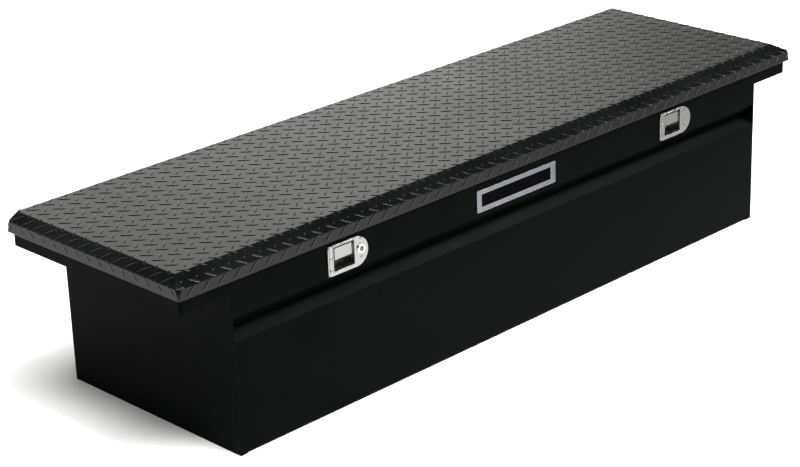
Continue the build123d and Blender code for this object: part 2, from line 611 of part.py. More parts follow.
# ---------------------------------------------------------------- key lock
LOCK_HEAD = 3.4
LOCK_BACK = TUB_FRONT + 24.0
PLUG_RADIUS = 5.5
PLUG_PROUD = 0.6
PLUG_FACE = PLATE_FACE - LOCK_HEAD - PLUG_PROUD
PLUG_END = LOCK_BACK + 1.0
KEYWAY = (0.8, 3.1, 3.6)      # half width, depth, half height
NUT_RADIUS = 12.0
NUT_THICKNESS = 5.0
CAM_HALF = 5.0
CAM_SHEET = 2.0
CAM_LOW = LOCK_Z - 22.0
CAM_HIGH = LOCK_Z + 6.0
CAM_CORNER = 4.0
with BuildPart() as lock_housing:
    y_cylinder(LOCK_X, LOCK_Z, PLATE_FACE - LOCK_HEAD, PLATE_FACE, LOCK_BODY_RADIUS + 1.5)
    fillet(lock_housing.faces().sort_by(Axis.Y)[0].edges(), 1.2)
    y_cylinder(LOCK_X, LOCK_Z, PLATE_FACE, LOCK_BACK, LOCK_BODY_RADIUS)
    y_cylinder(LOCK_X, LOCK_Z, PLATE_FACE - LOCK_HEAD, LOCK_BACK, PLUG_RADIUS + RUNNING,
               mode=Mode.SUBTRACT)
save(lock_housing.part, "lock_housing")

with BuildPart() as lock_nut:
    nut_plane = Plane(origin=(LOCK_X, TUB_FRONT + SHEET, LOCK_Z), x_dir=(1, 0, 0),
                      z_dir=(0, 1, 0))
    with BuildSketch(nut_plane):
        RegularPolygon(NUT_RADIUS, 6)
        Circle(LOCK_BODY_RADIUS, mode=Mode.SUBTRACT)
    extrude(amount=NUT_THICKNESS)
save(lock_nut.part, "lock_nut")

with BuildPart() as lock_plug:
    y_cylinder(LOCK_X, LOCK_Z, PLUG_FACE, PLUG_END, PLUG_RADIUS)
    key_half, key_depth, key_rise = KEYWAY
    block(LOCK_X - key_half, LOCK_X + key_half, PLUG_FACE, PLUG_FACE + key_depth,
          LOCK_Z - key_rise, LOCK_Z + key_rise, mode=Mode.SUBTRACT)
save(lock_plug.part, "lock_plug")

with BuildPart() as lock_cam:
    block(LOCK_X - CAM_HALF, LOCK_X + CAM_HALF, PLUG_END, PLUG_END + CAM_SHEET, CAM_LOW,
          CAM_HIGH)
    fillet(lock_cam.edges().filter_by(Axis.Y), CAM_CORNER)
save(lock_cam.part, "lock_cam")

# ---------------------------------------------------------------- nameplate
NAMEPLATE_SHEET = 1.2
NAMEPLATE_BORDER = 2.5
NAMEPLATE_RELIEF = 0.8
NAMEPLATE_CORNER = 3.0
NAMEPLATE_Z = SKIRT_TOP - NAMEPLATE_TOP_DROP - NAMEPLATE_HEIGHT / 2
with BuildPart() as nameplate:
    back = Plane(origin=(NAMEPLATE_X, TUB_FRONT, NAMEPLATE_Z), x_dir=(1, 0, 0),
                 z_dir=(0, -1, 0))
    with BuildSketch(back):
        RectangleRounded(NAMEPLATE_WIDTH, NAMEPLATE_HEIGHT, NAMEPLATE_CORNER)
    extrude(amount=NAMEPLATE_SHEET)
    with BuildSketch(back.offset(NAMEPLATE_SHEET)):
        RectangleRounded(NAMEPLATE_WIDTH, NAMEPLATE_HEIGHT, NAMEPLATE_CORNER)
        RectangleRounded(NAMEPLATE_WIDTH - 2 * NAMEPLATE_BORDER,
                         NAMEPLATE_HEIGHT - 2 * NAMEPLATE_BORDER,
                         NAMEPLATE_CORNER / 2, mode=Mode.SUBTRACT)
    extrude(amount=NAMEPLATE_RELIEF)
save(nameplate.part, "nameplate")

# ---------------------------------------------------------------- gas springs
STRUT_X = 762.0
STRUT_LOW = (100.0, 155.0)       # y, z of the ball on the tub
STRUT_HIGH = (200.0, 360.0)      # y, z of the ball under the closed lid
STRUT_CLOSED = hypot(STRUT_HIGH[0] - STRUT_LOW[0], STRUT_HIGH[1] - STRUT_LOW[1])
STRUT_TILT = atan2(STRUT_HIGH[1] - STRUT_LOW[1], STRUT_HIGH[0] - STRUT_LOW[0])
STRUT_AXIS = (0, cos(STRUT_TILT), sin(STRUT_TILT))
BALL_RADIUS = 5.0
SOCKET_RADIUS = 8.0
SOCKET_HALF = 6.0
STEM_RADIUS = 5.0
SOCKET_BORE = BALL_RADIUS + 0.1
NECK_RADIUS = 3.0
TUBE_RADIUS = 9.0
TUBE_BORE = 7.4
TUBE_START = 12.0
TUBE_END = 160.0
TUBE_ROUND = 1.5
GUIDE_LENGTH = 8.0
STRUT_ROD_RADIUS = 4.0
PISTON_START = 82.0
PISTON_LENGTH = 8.0
BRACKET_SHEET = 2.5
TUB_BRACKET = (15.0, 20.0, 4.0)  # half width, half height, corner radius
LID_BRACKET_IN = 772.0
LID_BRACKET_HALF = 12.0
LID_BRACKET_DROP = 8.0
LID_BRACKET_FLANGE = 24.0
LID_BRACKET_SHEET = 2.0

for name, side in SIDES:
    strut_x = side * STRUT_X
    along = Plane(origin=(strut_x, *STRUT_LOW), x_dir=(1, 0, 0), z_dir=STRUT_AXIS)

    with BuildPart() as strut_mount_tub:
        half_width, half_height, corner = TUB_BRACKET
        block(side * (END_INNER - BRACKET_SHEET), side * END_INNER,
              STRUT_LOW[0] - half_width, STRUT_LOW[0] + half_width,
              STRUT_LOW[1] - half_height, STRUT_LOW[1] + half_height)
        fillet(strut_mount_tub.edges().filter_by(Axis.X), corner)
        x_cylinder(strut_x + side * 2, side * (END_INNER - 1), *STRUT_LOW, NECK_RADIUS)
        with Locations((strut_x, *STRUT_LOW)):
            Sphere(BALL_RADIUS, rotation=(0, 90, 0))
    save(strut_mount_tub.part, f"strut_mount_tub_{name}")

    with BuildPart() as tube_end:
        x_cylinder(strut_x - SOCKET_HALF, strut_x + SOCKET_HALF, *STRUT_LOW,
                   SOCKET_RADIUS)
        with BuildSketch(along):
            Circle(STEM_RADIUS)
        extrude(amount=TUBE_START)
        with Locations((strut_x, *STRUT_LOW)):
            Sphere(SOCKET_BORE, mode=Mode.SUBTRACT)
        x_cylinder(strut_x, strut_x + side * SOCKET_HALF, *STRUT_LOW, SOCKET_BORE,
                   mode=Mode.SUBTRACT)
    save(tube_end.part, f"tube_end_{name}")

    with BuildPart() as gas_tube:
        with BuildSketch(along.offset(TUBE_START)):
            Circle(TUBE_RADIUS)
        extrude(amount=TUBE_END - TUBE_START)
        fillet(gas_tube.edges().filter_by(GeomType.CIRCLE), TUBE_ROUND)
        with BuildSketch(along.offset(TUBE_START + GUIDE_LENGTH)):
            Circle(TUBE_BORE)
        extrude(amount=TUBE_END - TUBE_START - 2 * GUIDE_LENGTH, mode=Mode.SUBTRACT)
        with BuildSketch(along.offset(TUBE_END - GUIDE_LENGTH)):
            Circle(STRUT_ROD_RADIUS + RUNNING)
        extrude(amount=GUIDE_LENGTH, mode=Mode.SUBTRACT)
    save(gas_tube.part, f"gas_tube_{name}")

    with BuildPart() as gas_rod:
        with BuildSketch(along.offset(PISTON_START)):
            Circle(TUBE_BORE - 0.1)
        extrude(amount=PISTON_LENGTH)
        with BuildSketch(along.offset(PISTON_START + PISTON_LENGTH)):
            Circle(STRUT_ROD_RADIUS)
        extrude(amount=STRUT_CLOSED - TUBE_START - PISTON_START - PISTON_LENGTH)
    save(gas_rod.part, f"gas_rod_{name}")

    with BuildPart() as rod_end:
        x_cylinder(strut_x - SOCKET_HALF, strut_x + SOCKET_HALF, *STRUT_HIGH,
                   SOCKET_RADIUS)
        with BuildSketch(along.offset(STRUT_CLOSED - TUBE_START)):
            Circle(STEM_RADIUS)
        extrude(amount=TUBE_START)
        x_cylinder(strut_x + side * SOCKET_HALF, side * (LID_BRACKET_IN - 0.4),
                   *STRUT_HIGH, NECK_RADIUS)
    save(rod_end.part, f"rod_end_{name}")

    with BuildPart() as strut_mount_lid:
        flange_low = LINER_BOTTOM - LID_BRACKET_SHEET
        bracket_out = LID_BRACKET_IN + BRACKET_SHEET
        y0 = STRUT_HIGH[0] - LID_BRACKET_HALF
        y1 = STRUT_HIGH[0] + LID_BRACKET_HALF
        block(side * LID_BRACKET_IN, side * bracket_out, y0, y1,
              STRUT_HIGH[1] - LID_BRACKET_DROP, flange_low)
        block(side * (LID_BRACKET_IN - LID_BRACKET_FLANGE), side * bracket_out, y0, y1,
              flange_low, LINER_BOTTOM)
    save(strut_mount_lid.part, f"strut_mount_lid_{name}")

# ---------------------------------------------------------------- joint figures
lid_reach = (STRUT_HIGH[0] - HINGE_Y, STRUT_HIGH[1] - HINGE_Z)
swing = radians(LID_OPEN)
open_y = HINGE_Y + lid_reach[0] * cos(swing) + lid_reach[1] * sin(swing)
open_z = HINGE_Z - lid_reach[0] * sin(swing) + lid_reach[1] * cos(swing)
open_length = hypot(open_y - STRUT_LOW[0], open_z - STRUT_LOW[1])
open_tilt = atan2(open_z - STRUT_LOW[1], open_y - STRUT_LOW[0])
print("hinge axis y, z:", HINGE_Y, HINGE_Z)
print("strut stroke and lean:", open_length - STRUT_CLOSED, degrees(STRUT_TILT - open_tilt))
print("strut axis:", STRUT_AXIS)
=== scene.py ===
import json
from math import atan2, ceil, cos, floor, hypot, pi, radians, sin

import bmesh
import bpy
import numpy as np
from mathutils import Matrix, Vector


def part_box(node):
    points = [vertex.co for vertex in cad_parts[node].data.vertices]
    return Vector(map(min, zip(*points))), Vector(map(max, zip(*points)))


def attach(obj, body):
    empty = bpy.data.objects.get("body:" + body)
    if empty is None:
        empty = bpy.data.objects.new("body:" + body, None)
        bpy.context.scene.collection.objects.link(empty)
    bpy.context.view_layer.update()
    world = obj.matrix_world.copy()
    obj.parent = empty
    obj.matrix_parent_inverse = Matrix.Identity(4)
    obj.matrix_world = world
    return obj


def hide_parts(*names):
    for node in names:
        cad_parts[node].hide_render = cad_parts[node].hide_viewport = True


# The looks of a truck tool box: tread-plate lid, powder-coated tub, stainless latches, in a pale studio.
# Metres, in the CAD model's frame: X along the box, -Y the front, +Z up.

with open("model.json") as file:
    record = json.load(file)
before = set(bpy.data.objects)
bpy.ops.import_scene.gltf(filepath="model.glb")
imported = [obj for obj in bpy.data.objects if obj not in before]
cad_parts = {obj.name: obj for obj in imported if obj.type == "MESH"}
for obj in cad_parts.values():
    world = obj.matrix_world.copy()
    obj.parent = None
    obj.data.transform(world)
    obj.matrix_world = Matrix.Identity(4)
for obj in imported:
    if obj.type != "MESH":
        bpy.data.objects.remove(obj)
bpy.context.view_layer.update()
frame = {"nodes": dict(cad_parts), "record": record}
nodes = frame["nodes"]
scene = bpy.context.scene
MM = 0.001
scene.view_settings.view_transform = "Standard"

# ---------------------------------------------------------------- camera
VIEW_AZIMUTH = radians(-44.35)
VIEW_ELEVATION = radians(22.01)
VIEW_ROLL = radians(-1.98)
VIEW_DISTANCE = 4.364
VIEW_TARGET = Vector((-0.2111, -0.103, 0.2296))
LENS_MM = 96.87


def view_axes(azimuth, elevation, roll):
    """The camera's right, up and backward directions."""
    back = Vector((sin(azimuth) * cos(elevation), -cos(azimuth) * cos(elevation), sin(elevation)))
    right = Vector((0, 0, 1)).cross(back).normalized()
    up = back.cross(right)
    turned_right = cos(roll) * right + sin(roll) * up
    turned_up = cos(roll) * up - sin(roll) * right
    return turned_right, turned_up, back


def make_camera():
    right, up, back = view_axes(VIEW_AZIMUTH, VIEW_ELEVATION, VIEW_ROLL)
    data = bpy.data.cameras.new("camera")
    data.lens = LENS_MM
    data.sensor_width = 36.0
    data.clip_end = 100.0
    camera = bpy.data.objects.new("camera", data)
    scene.collection.objects.link(camera)
    position = VIEW_TARGET + back * VIEW_DISTANCE
    camera.matrix_world = Matrix.Translation(position) @ Matrix((right, up, back)).transposed().to_4x4()
    scene.camera = camera


# ---------------------------------------------------------------- shader helpers
def new_material(name):
    """A material with an empty node tree, its shader and its object coordinates."""
    material = bpy.data.materials.new(name)
    material.use_nodes = True
    tree = material.node_tree
    tree.nodes.clear()
    output = tree.nodes.new("ShaderNodeOutputMaterial")
    shader = tree.nodes.new("ShaderNodeBsdfPrincipled")
    place = tree.nodes.new("ShaderNodeTexCoord")
    tree.links.new(shader.outputs["BSDF"], output.inputs["Surface"])
    return material, tree, shader, place.outputs["Object"]


def stretched(tree, place, scale):
    """Object coordinates stretched along the axes, for grain that runs one way."""
    mapping = tree.nodes.new("ShaderNodeMapping")
    mapping.inputs["Scale"].default_value = scale
    tree.links.new(place, mapping.inputs["Vector"])
    return mapping.outputs["Vector"]


def noise(tree, place, scale, detail=3.0, roughness=0.55):
    """Smooth procedural noise from 0 to 1."""
    texture = tree.nodes.new("ShaderNodeTexNoise")
    texture.inputs["Scale"].default_value = scale
    texture.inputs["Detail"].default_value = detail
    texture.inputs["Roughness"].default_value = roughness
    tree.links.new(place, texture.inputs["Vector"])
    return texture.outputs["Fac"]


def remap(tree, value, low, high, from_low=0.3, from_high=0.7):
    """A value moved from one range to another, held inside it."""
    node = tree.nodes.new("ShaderNodeMapRange")
    node.inputs["From Min"].default_value = from_low
    node.inputs["From Max"].default_value = from_high
    node.inputs["To Min"].default_value = low
    node.inputs["To Max"].default_value = high
    tree.links.new(value, node.inputs["Value"])
    return node.outputs["Result"]


def blend_colours(tree, factor, first, second):
    """A colour between two, by a factor from 0 to 1. Each is a plain colour or another node's output."""
    node = tree.nodes.new("ShaderNodeMix")
    node.data_type = "RGBA"
    for socket, colour in ((node.inputs[6], first), (node.inputs[7], second)):
        if isinstance(colour, tuple):
            socket.default_value = (*colour, 1)
        else:
            tree.links.new(colour, socket)
    tree.links.new(factor, node.inputs[0])
    return node.outputs[2]


def split_axes(tree, place):
    """The X, Y and Z values of a place."""
    node = tree.nodes.new("ShaderNodeSeparateXYZ")
    tree.links.new(place, node.inputs["Vector"])
    return node.outputs["X"], node.outputs["Y"], node.outputs["Z"]


def product(tree, first, second):
    """Two values multiplied."""
    node = tree.nodes.new("ShaderNodeMath")
    node.operation = "MULTIPLY"
    tree.links.new(first, node.inputs[0])
    tree.links.new(second, node.inputs[1])
    return node.outputs["Value"]


def ramp_between(tree, value, low, high, first, second):
    """A value that goes smoothly from first to second as another goes from low to high."""
    node = tree.nodes.new("ShaderNodeMapRange")
    node.interpolation_type = "SMOOTHSTEP"
    node.inputs["From Min"].default_value = low
    node.inputs["From Max"].default_value = high
    node.inputs["To Min"].default_value = first
    node.inputs["To Max"].default_value = second
    tree.links.new(value, node.inputs["Value"])
    return node.outputs["Result"]


def bump(tree, height, distance, strength=1.0, normal=None):
    """A bumped normal, on top of another one if it is given."""
    node = tree.nodes.new("ShaderNodeBump")
    node.inputs["Distance"].default_value = distance
    node.inputs["Strength"].default_value = strength
    tree.links.new(height, node.inputs["Height"])
    if normal is not None:
        tree.links.new(normal, node.inputs["Normal"])
    return node.outputs["Normal"]


def soft_edges(tree, radius):
    """A normal that rounds a piece's sharp edges."""
    node = tree.nodes.new("ShaderNodeBevel")
    node.samples = 4
    node.inputs["Radius"].default_value = radius
    return node.outputs["Normal"]


# ---------------------------------------------------------------- materials
STAINLESS = (0.30, 0.30, 0.295)
PADDLE_STAINLESS = (0.27, 0.27, 0.265)
POLISH_GRAIN = (4, 1, 0.2)            # how far polishing marks are stretched along the axes
POLISH_SCALE = 250.0
NAMEPLATE_SILVER = (0.19, 0.195, 0.215)
NAMEPLATE_BLACK = (0.0015, 0.0015, 0.002)
PANEL_INSET = (14.0 * MM, 10.0 * MM)  # nameplate's enamel panel from its ends and long edges
EDGE_SHADE = (2.4 * MM, 1.8 * MM)     # shade along the paddle's left and top edges
SHADE_SOFTNESS = 0.3 * MM             # how softly the shade and the panel end
PLATE_SHEET = 2.0 * MM                # latch plate, in front of its gasket
RECESS = (2.2 * MM, 4.0 * MM)         # depths behind the latch plate's face where its shade starts and ends
RECESS_SHADE = (0.26, 0.26, 0.26)
PADDLE_SHADE = (0.02, 0.02, 0.02)
STRUT_EDGE = 0.6 * MM                 # how far the struts' edges are rounded


def powder_coat(name, dark, light, gloss, specular, edge=1.2 * MM):
    """Satin paint with a fine orange peel, faint clouds in its tone and soft edges."""
    material, tree, shader, place = new_material(name)
    clouds = noise(tree, place, 9.0, 4.0)
    peel = noise(tree, place, 900.0, 2.0)
    colour = blend_colours(tree, remap(tree, clouds, 0, 1), dark, light)
    tree.links.new(colour, shader.inputs["Base Color"])
    tree.links.new(remap(tree, clouds, gloss - 0.04, gloss + 0.05), shader.inputs["Roughness"])
    shader.inputs["Specular IOR Level"].default_value = specular
    rounded = soft_edges(tree, edge) if edge else None
    tree.links.new(bump(tree, peel, 0.02 * MM, 0.5, rounded), shader.inputs["Normal"])
    return material


def tread_finish(name):
    """Glossier black paint on the tread plate, over a slightly uneven sheet."""
    material, tree, shader, place = new_material(name)
    clouds = noise(tree, place, 6.0, 5.0)
    peel = noise(tree, place, 600.0, 2.0)
    waves = noise(tree, place, 14.0, 2.0)
    colour = blend_colours(tree, remap(tree, clouds, 0, 1), (0.0012, 0.0015, 0.0014), (0.0026, 0.003, 0.0028))
    tree.links.new(colour, shader.inputs["Base Color"])
    tree.links.new(remap(tree, clouds, 0.20, 0.28), shader.inputs["Roughness"])
    shader.inputs["Specular IOR Level"].default_value = 0.18
    uneven = bump(tree, waves, 0.3 * MM, 0.25)
    tree.links.new(bump(tree, peel, 0.02 * MM, 0.5, uneven), shader.inputs["Normal"])
    return material


def grain_metal(tree, shader, place, colour, low, high, grain, scale, depth=0.01 * MM, edge=0.5 * MM):
    """Makes a shader a metal of that colour, with a grain in its roughness and bump and soft edges."""
    streaks = noise(tree, stretched(tree, place, grain), scale, 4.0, 0.6)
    tree.links.new(colour, shader.inputs["Base Color"])
    tree.links.new(remap(tree, streaks, low, high), shader.inputs["Roughness"])
    shader.inputs["Metallic"].default_value = 1.0
    rounded = soft_edges(tree, edge) if edge else None
    tree.links.new(bump(tree, streaks, depth, 0.4, rounded), shader.inputs["Normal"])


def metal(name, colour, low, high, grain=(1, 1, 1), grain_scale=400.0):
    """Bare metal, faintly stained, its roughness from low to high."""
    material, tree, shader, place = new_material(name)
    stains = noise(tree, place, 30.0, 3.0)
    shade = tuple(0.86 * c for c in colour)
    tone = blend_colours(tree, remap(tree, stains, 0, 1), shade, colour)
    grain_metal(tree, shader, place, tone, low, high, grain, grain_scale)
    return material


def dish_metal(name, face):
    """The latch plate's polished metal, with painted shade in the recess behind the plate's face, broken by patches
    of painted reflection.
    """
    material, tree, shader, place = new_material(name)
    depth = remap(tree, split_axes(tree, place)[1], 0, 1, face + RECESS[0], face + RECESS[1])
    # painted shade behind the plate's face, patched with painted reflection
    painted_reflection_patches = noise(tree, place, 70.0, 3.0, 0.6)
    painted_recess_shade = blend_colours(tree, remap(tree, painted_reflection_patches, 0, 1, 0.42, 0.60), RECESS_SHADE, STAINLESS)
    tone = blend_colours(tree, depth, STAINLESS, painted_recess_shade)
    grain_metal(tree, shader, place, tone, 0.20, 0.32, POLISH_GRAIN, POLISH_SCALE, edge=0)
    return material


def paddle_metal(name, node):
    """A paddle's polished metal, in shade along the left and top edges where it meets the window."""
    material, tree, shader, place = new_material(name)
    low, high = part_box(node)
    left, top = low.x + EDGE_SHADE[0], high.z - EDGE_SHADE[1]
    x, _, z = split_axes(tree, place)
    lit = product(tree, remap(tree, x, 0, 1, left - SHADE_SOFTNESS, left + SHADE_SOFTNESS),
                  remap(tree, z, 1, 0, top - SHADE_SOFTNESS, top + SHADE_SOFTNESS))
    tone = blend_colours(tree, lit, PADDLE_SHADE, PADDLE_STAINLESS)
    grain_metal(tree, shader, place, tone, 0.16, 0.28, POLISH_GRAIN, POLISH_SCALE, edge=0.4 * MM)
    return material


def inside(tree, value, centre, half):
    """1 where a value is within half of a centre, 0 beyond it."""
    offset = tree.nodes.new("ShaderNodeMath")
    offset.operation = "SUBTRACT"
    offset.inputs[1].default_value = centre
    tree.links.new(value, offset.inputs[0])
    distance = tree.nodes.new("ShaderNodeMath")
    distance.operation = "ABSOLUTE"
    tree.links.new(offset.outputs["Value"], distance.inputs[0])
    return remap(tree, distance.outputs["Value"], 1, 0, half - SHADE_SOFTNESS, half)


def plate_metal(name):
    """A brushed nameplate with a plain black enamel panel, no lettering."""
    material, tree, shader, place = new_material(name)
    low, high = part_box("nameplate")
    middle, half = (low + high) / 2, (high - low) / 2
    x, _, z = split_axes(tree, place)
    enamel = product(tree, inside(tree, x, middle.x, half.x - PANEL_INSET[0]),
                     inside(tree, z, middle.z, half.z - PANEL_INSET[1]))
    streaks = noise(tree, stretched(tree, place, (0.2, 4, 4)), 300.0, 4.0, 0.6)
    tone = blend_colours(tree, enamel, NAMEPLATE_SILVER, NAMEPLATE_BLACK)
    tree.links.new(tone, shader.inputs["Base Color"])
    tree.links.new(remap(tree, enamel, 1, 0, 0, 1), shader.inputs["Metallic"])
    shader.inputs["Specular IOR Level"].default_value = 0.004
    tree.links.new(remap(tree, streaks, 0.22, 0.36), shader.inputs["Roughness"])
    tree.links.new(bump(tree, streaks, 0.01 * MM, 0.4, soft_edges(tree, 0.5 * MM)), shader.inputs["Normal"])
    return material


def rubber(name):
    """Matt black rubber with a fine skin and a bloom of grey."""
    material, tree, shader, place = new_material(name)
    bloom = noise(tree, place, 40.0, 4.0)
    skin = noise(tree, place, 1500.0, 2.0)
    colour = blend_colours(tree, remap(tree, bloom, 0, 1), (0.008, 0.008, 0.008), (0.02, 0.02, 0.02))
    tree.links.new(colour, shader.inputs["Base Color"])
    tree.links.new(remap(tree, bloom, 0.62, 0.8), shader.inputs["Roughness"])
    tree.links.new(bump(tree, skin, 0.05 * MM, 0.4), shader.inputs["Normal"])
    return material


# ---------------------------------------------------------------- tread-plate lid
SHEET = 2.0 * MM
BAR_HEIGHT = 1.0 * MM
BAR_SINK = 0.6 * MM
BAR_LENGTH = 28.0 * MM
BAR_WIDTH = 5.4 * MM
PITCH_ALONG = 37.0 * MM        # between bars of one family, along the box
PITCH_ACROSS = 34.5 * MM
FIRST_BAR = (22.5 * MM, 37.5 * MM)   # a bar's place from the flat's left and front edges
LID_RISE = 15.0 * MM
END_BEVEL = 24.0 * MM
FRONT_BEVEL = 37.0 * MM
REAR_BEVEL = 5.0 * MM
CORNER_TOP = 8.0 * MM          # how far the skirts' corner is drawn in at their top edge
CORNER_LOW = 1.5 * MM
CORNER_FLAT = 2.0 * MM         # the same at the flat's edge
BEND_RADIUS = 1.5 * MM
FOLD_REACH = 1.0 * MM          # how far either side of a fold a bar turns over
FLAT_AREA = 4e-4               # faces of the sheet larger than this are shaded flat
FOLD_ANGLE = radians(12)       # edges of the sheet sharper than this are rounded
SHARP_ANGLE = radians(40)      # edges sharper than this stay sharp in the shading
BAR_TAPER = 0.62               # how fast a bar narrows towards its ends: below 1 is blunter than an ellipse
BAR_CREST = 6                  # how far along its length a bar keeps its full height
GUARD_GAP = 0.5 * MM           # how far a bar may stand off the lid's corner facets
SKIRT_LIMIT = 0.98             # a bar's most height off the skirts, in bar heights
BEVEL_LIMIT = 1.05             # the same off the bevels
CLEAR = 1e-5                   # metres past a plane at which a bar counts as outside it
TOUCH = 1e-6                   # metres past a plane at which a bar is cut
ON_PLANE = 1e-7                # metres from a plane at which a cut takes a point to be on it
ALONG_STEPS = 10
ACROSS = (-1.0, -0.86, -0.55, 0.0, 0.55, 0.86, 1.0)


class Side:
    """One side of the lid: the sheet's line from the flat, over the bevel and down the skirt."""

    def __init__(self, edge, inward, bevel, top, shoulder, bottom):
        slope = atan2(LID_RISE, bevel)
        shift = BAR_HEIGHT * (1 - cos(slope)) / sin(slope)
        self.inward = inward
        self.flat_edge = edge + inward * (bevel + shift)
        self.skirt = edge + inward * BAR_HEIGHT
        self.top, self.shoulder, self.bottom = top, shoulder, bottom
        run = abs(self.flat_edge - self.skirt)
        self.bevel_length = hypot(run, top - shoulder)
        self.bevel_slope = atan2(top - shoulder, run)

    def place(self, beyond, height):
        """Horizontal place and z of a point that far beyond the flat's edge, off the sheet by height."""
        folds = (-FOLD_REACH, FOLD_REACH, self.bevel_length - FOLD_REACH, self.bevel_length + FOLD_REACH)
        tilt = np.interp(beyond, folds, (0, self.bevel_slope, self.bevel_slope, pi / 2))
        on_bevel = np.clip(beyond, 0, self.bevel_length)
        past = np.clip(beyond - self.bevel_length, 0, None)
        out = np.clip(beyond, None, 0) + on_bevel * cos(self.bevel_slope) + height * np.sin(tilt)
        z = self.top - on_bevel * sin(self.bevel_slope) - past + height * np.cos(tilt)
        return self.flat_edge - self.inward * out, z


def lid_sides():
    low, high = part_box("lid_skin")
    levels = (high.z - BAR_HEIGHT, high.z - LID_RISE - BAR_HEIGHT / 2, low.z)
    return {
        "front": Side(low.y, 1, FRONT_BEVEL, *levels),
        "rear": Side(high.y, -1, REAR_BEVEL, *levels),
        "left": Side(low.x, 1, END_BEVEL, *levels),
        "right": Side(high.x, -1, END_BEVEL, *levels),
    }


def lid_ring(sides, reach, z, corner):
    """Eight points round the lid at one level, with each corner cut off by that much."""
    x0, x1 = reach(sides["left"]), reach(sides["right"])
    y0, y1 = reach(sides["front"]), reach(sides["rear"])
    return [(x0 + corner, y0, z), (x1 - corner, y0, z), (x1, y0 + corner, z), (x1, y1 - corner, z),
            (x1 - corner, y1, z), (x0 + corner, y1, z), (x0, y1 - corner, z), (x0, y0 + corner, z)]


def lid_sheet(sides):
    """The plain folded sheet under the bars: a closed shell, open below."""
    front = sides["front"]
    levels = [(lambda s: s.skirt, front.bottom, CORNER_LOW),
              (lambda s: s.skirt, front.shoulder, CORNER_TOP),
              (lambda s: s.flat_edge, front.top, CORNER_FLAT),
              (lambda s: s.flat_edge, front.top - SHEET, CORNER_FLAT),
              (lambda s: s.skirt + s.inward * SHEET, front.shoulder - SHEET / 2, CORNER_TOP),
              (lambda s: s.skirt + s.inward * SHEET, front.bottom, CORNER_LOW)]
    shell = bmesh.new()

    def band(lower, upper):
        for i, j in zip(range(len(lower)), (*range(1, len(lower)), 0)):
            shell.faces.new((lower[i], lower[j], upper[j], upper[i]))

    rings = [[shell.verts.new(p) for p in lid_ring(sides, *level)] for level in levels]
    low, shoulder, flat, flat_inside, shoulder_inside, low_inside = rings
    band(low, shoulder)
    band(shoulder, flat)
    band(flat_inside, shoulder_inside)
    band(shoulder_inside, low_inside)
    shell.faces.new(flat)
    shell.faces.new(list(reversed(flat_inside)))
    band(low_inside, low)
    bmesh.ops.recalc_face_normals(shell, faces=shell.faces)
    folds = [e for e in shell.edges if e.calc_face_angle(0) > FOLD_ANGLE]
    bmesh.ops.bevel(shell, geom=folds, offset=BEND_RADIUS, segments=3, profile=0.5, affect="EDGES",
                    offset_type="OFFSET", clamp_overlap=True)
    return shell


def bar_template():
    """One raised bar: a long seed with a rounded top, in its own length, width and height."""
    points = [(-1.0, 0.0, -BAR_SINK)]
    for step in range(1, ALONG_STEPS):
        s = -cos(pi * step / ALONG_STEPS)
        half = (1 - s * s) ** BAR_TAPER
        for t in ACROSS:
            lift = (1 - t * t) ** 0.5 * (1 - s ** BAR_CREST)
            points.append((s, t * half, BAR_HEIGHT * lift if abs(t) < 1 else -BAR_SINK))
    points.append((1.0, 0.0, -BAR_SINK))
    rows, last = len(ACROSS), len(points) - 1
    faces = []
    for k in range(rows - 1):
        faces.append((0, 1 + k + 1, 1 + k))
        faces.append((last, last - rows + k, last - rows + k + 1))
    for step in range(ALONG_STEPS - 2):
        start = 1 + step * rows
        for k in range(rows - 1):
            faces.append((start + k, start + k + 1, start + rows + k + 1, start + rows + k))
        faces.append((start + rows - 1, start, start + rows, start + 2 * rows - 1))
    faces.append((0, 1, rows))
    faces.append((last, last - 1, last - rows))
    return np.array(points), faces


def bar_centres(sides):
    """Each bar's place on the unfolded sheet and its direction, both families."""
    left, right, front, rear = (sides[n] for n in ("left", "right", "front", "rear"))
    skirt = front.shoulder - front.bottom
    reach_x = left.bevel_length + skirt
    x0, y0 = left.flat_edge + FIRST_BAR[0], front.flat_edge + FIRST_BAR[1]
    x_low, x_high = left.flat_edge - reach_x, right.flat_edge + reach_x
    y_low = front.flat_edge - front.bevel_length - skirt
    y_high = rear.flat_edge + rear.bevel_length + skirt
    for half, angle in ((0.0, -pi / 4), (0.5, pi / 4)):
        first_i = ceil((x_low - x0) / PITCH_ALONG - half)
        last_i = floor((x_high - x0) / PITCH_ALONG - half)
        first_j = ceil((y_low - y0) / PITCH_ACROSS - half)
        last_j = floor((y_high - y0) / PITCH_ACROSS - half)
        for i in range(first_i, last_i + 1):
            for j in range(first_j, last_j + 1):
                yield x0 + (i + half) * PITCH_ALONG, y0 + (j + half) * PITCH_ACROSS, angle


def corner_planes(sides):
    """The upright plane through each corner's mitre: a point on it and its normal towards the ends."""
    planes = {}
    for end in ("left", "right"):
        for long_side in ("front", "rear"):
            a, b = sides[end], sides[long_side]
            inner = Vector((a.flat_edge, b.flat_edge, 0))
            outer = Vector((a.skirt, b.skirt, 0))
            normal = (outer - inner).cross(Vector((0, 0, 1))).normalized()
            if normal.x * a.inward > 0:
                normal.negate()
            planes[end, long_side] = (inner, normal)
    return planes


